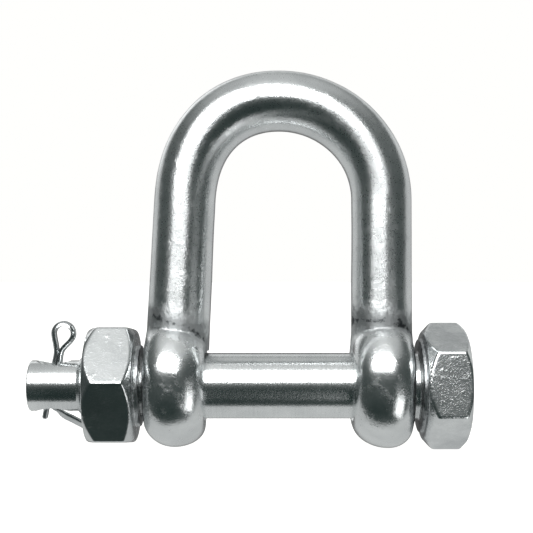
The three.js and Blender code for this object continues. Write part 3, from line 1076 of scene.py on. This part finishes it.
def studio_world():
    """A white room to the camera; in the metal, a dark front, a light back and a pale floor."""
    world = bpy.data.worlds.new("studio")
    bpy.context.scene.world = world
    world.use_nodes = True
    tree = world.node_tree
    tree.nodes.clear()
    nodes = Nodes(tree)
    direction = nodes.add("ShaderNodeTexCoord").outputs["Generated"]
    split = nodes.add("ShaderNodeSeparateXYZ")
    nodes.link(direction, split.inputs[0])
    x, y, z = split.outputs
    elevation = nodes.span(nodes.math("ARCSINE", z), -math.pi / 2, math.pi / 2)
    around = nodes.math("ARCTAN2", x, nodes.math("MULTIPLY", y, -1.0))
    azimuth = nodes.span(around, -math.pi, math.pi)
    front = nodes.ramp(elevation, elevation_stops(FRONT_OF_ROOM))
    flank = nodes.ramp(elevation, elevation_stops(FLANKS_OF_ROOM))
    back = nodes.ramp(elevation, elevation_stops(BACK_OF_ROOM))
    is_front = nodes.ramp(azimuth, azimuth_stops(FRONT_SHARE))
    facing = nodes.add("ShaderNodeVectorMath", operation="DOT_PRODUCT")
    nodes.link(direction, facing.inputs[0])
    facing.inputs[1].default_value = BACK_FACING
    is_back = nodes.span(facing.outputs["Value"], BACK_BEGINS, BACK_FULL, smooth=True)
    room = nodes.blend(nodes.blend(flank, front, is_front), back, is_back)
    is_opening = nodes.span(y, OPENING_BEGINS, OPENING_FULL, smooth=True)
    opening = nodes.add("ShaderNodeRGB").outputs[0]
    opening.default_value = grey(OPENING)
    room = nodes.blend(room, opening, is_opening)
    studio = nodes.add("ShaderNodeBackground")
    nodes.link(room, studio.inputs["Color"])
    white = nodes.add("ShaderNodeBackground")
    white.inputs["Color"].default_value = WHITE
    choose = nodes.add("ShaderNodeMixShader")
    path = nodes.add("ShaderNodeLightPath")
    nodes.link(path.outputs["Is Camera Ray"], choose.inputs["Fac"])
    nodes.link(studio.outputs[0], choose.inputs[1])
    nodes.link(white.outputs[0], choose.inputs[2])
    output = nodes.add("ShaderNodeOutputWorld")
    nodes.link(choose.outputs[0], output.inputs["Surface"])


def softbox(name, azimuth, elevation, distance, width, height, radiance, aim_x=0.0, aim_z=30.0):
    """A square-edged soft light that faces the object from the given direction, degrees."""
    data = bpy.data.lights.new(name, "AREA")
    data.shape = "RECTANGLE"
    data.size = 2 * distance * math.tan(math.radians(width / 2))
    data.size_y = 2 * distance * math.tan(math.radians(height / 2))
    data.energy = radiance * math.pi * data.size * data.size_y
    lamp = bpy.data.objects.new(name, data)
    bpy.context.scene.collection.objects.link(lamp)
    a, e = math.radians(azimuth), math.radians(elevation)
    towards = Vector((math.sin(a) * math.cos(e), -math.cos(a) * math.cos(e), math.sin(e)))
    target = Vector((JAW_X + aim_x * MM, 0.0, AXIS_Z + aim_z * MM))
    lamp.location = target + towards * distance
    lamp.rotation_euler = towards.to_track_quat("Z", "Y").to_euler()
    lamp.visible_camera = False


FLOOR_SIZE = 3.0
FLOOR_SHADE = (0.5, 0.5, 0.49, 1.0)
FLOOR_GLOW = 0.93
FLOOR_GAP = 0.0002


def floor():
    """A plain, evenly lit white floor that the metal doesn't mirror."""
    shape = bmesh.new()
    bmesh.ops.create_grid(shape, x_segments=4, y_segments=4, size=FLOOR_SIZE)
    mesh = bpy.data.meshes.new("floor")
    shape.to_mesh(mesh)
    shape.free()
    obj = bpy.data.objects.new("floor", mesh)
    bpy.context.scene.collection.objects.link(obj)
    obj.location = (JAW_X, 0.0, -FLOOR_GAP)
    material = bpy.data.materials.new("floor")
    material.use_nodes = True
    shader = material.node_tree.nodes["Principled BSDF"]
    shader.inputs["Base Color"].default_value = FLOOR_SHADE
    shader.inputs["Roughness"].default_value = 1.0
    shader.inputs["Specular IOR Level"].default_value = 0.0
    shader.inputs["Emission Color"].default_value = WHITE
    shader.inputs["Emission Strength"].default_value = FLOOR_GLOW
    mesh.materials.append(material)
    obj.visible_glossy = False
    obj.visible_shadow = False


# The camera looks straight along Y: lens and sensor in millimetres, place in metres from the
# bolt axis midway between the eyes.
LENS = 74.675
SENSOR_WIDTH = 36.0
CAMERA_PLACE = (-0.00319, -0.29014, 0.03124)


def camera():
    """The level camera in front of the shackle."""
    data = bpy.data.cameras.new("camera")
    data.sensor_width = SENSOR_WIDTH
    data.lens = LENS
    data.clip_start = 0.01
    obj = bpy.data.objects.new("camera", data)
    bpy.context.scene.collection.objects.link(obj)
    x, y, z = CAMERA_PLACE
    obj.location = (JAW_X + x, y, AXIS_Z + z)
    obj.rotation_euler = (math.pi / 2, 0.0, 0.0)
    bpy.context.scene.camera = obj


# ---------------------------------------------------------------------------------------------
# Assembly
# ---------------------------------------------------------------------------------------------
def place(obj, body, node, slot, *materials):
    """Gives a piece its materials and its moving body, and hides the CAD part it stands for; slot
    is not used.
    """
    for material in materials:
        obj.data.materials.append(material)
    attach(obj, body)
    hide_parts(node)


# Shades of steel: where painted shade darkens it, in the darker clouds and in the lighter ones.
PAINTED_SHADE_GREY = (0.10, 0.11, 0.115)
BRIGHT = (PAINTED_SHADE_GREY, (0.68, 0.70, 0.705), (0.86, 0.88, 0.88))
SATIN = (PAINTED_SHADE_GREY, (0.58, 0.60, 0.61), (0.86, 0.88, 0.88))
FACED = (PAINTED_SHADE_GREY, (0.60, 0.62, 0.625), (0.78, 0.80, 0.80))
DRAWN = (PAINTED_SHADE_GREY, (0.50, 0.52, 0.53), (0.76, 0.78, 0.78))
# Shades, roughness, anisotropy, speckle and mottle.
bar_steel = steel("bow_bar_steel", BRIGHT, 0.3, 0.85, 0.8, 0.15, creases=0.38)
eye_steel = steel("bow_eye_steel", BRIGHT, 0.23, 0.0, 0.6, 0.16, creases=0.3)
turned_steel = steel("turned_steel", BRIGHT, 0.26, 0.85, 0.6, 0.1, lines=0.6)
head_steel = steel("head_steel", SATIN, 0.2, 0.0, 1.1, 0.2, creases=0.1)
nut_steel = steel("nut_steel", FACED, 0.2, 0.0, 0.6, 0.12, creases=0.1)
wire_steel = steel("wire_steel", DRAWN, 0.22, 0.0, 0.4, 0.1)

camera()
studio_world()
# Azimuth and elevation in degrees, distance in metres, width and height in degrees, radiance.
softbox("key", -13.5, 37, 0.9, 50, 39, 5.5)
softbox("back_key", -148, 30, 0.9, 24, 36, 0.5)
softbox("low_spot", 53, -23, 0.175, 24, 25, 1.6, aim_x=-EYE_X, aim_z=0.0)
floor()

place(build_bow(), "bow", "bow_body", "polished_bow", bar_steel, eye_steel)
place(build_stem(), "bolt", "bolt", "turned_bolt", turned_steel)
place(
    build_hexagon("bolt_head", head_field, HEAD_UNDERSIDE_X, HEAD_END_X),
    "bolt", "bolt", "turned_bolt", head_steel,
)
place(
    build_hexagon("hex_nut", nut_field, NUT_INNER_X, NUT_OUTER_X),
    "nut", "nut", "faced_nut", nut_steel,
)
place(build_cotter(), "cotter", "cotter_pin", "drawn_wire", wire_steel)

bpy.context.scene.view_settings.view_transform = "Standard"
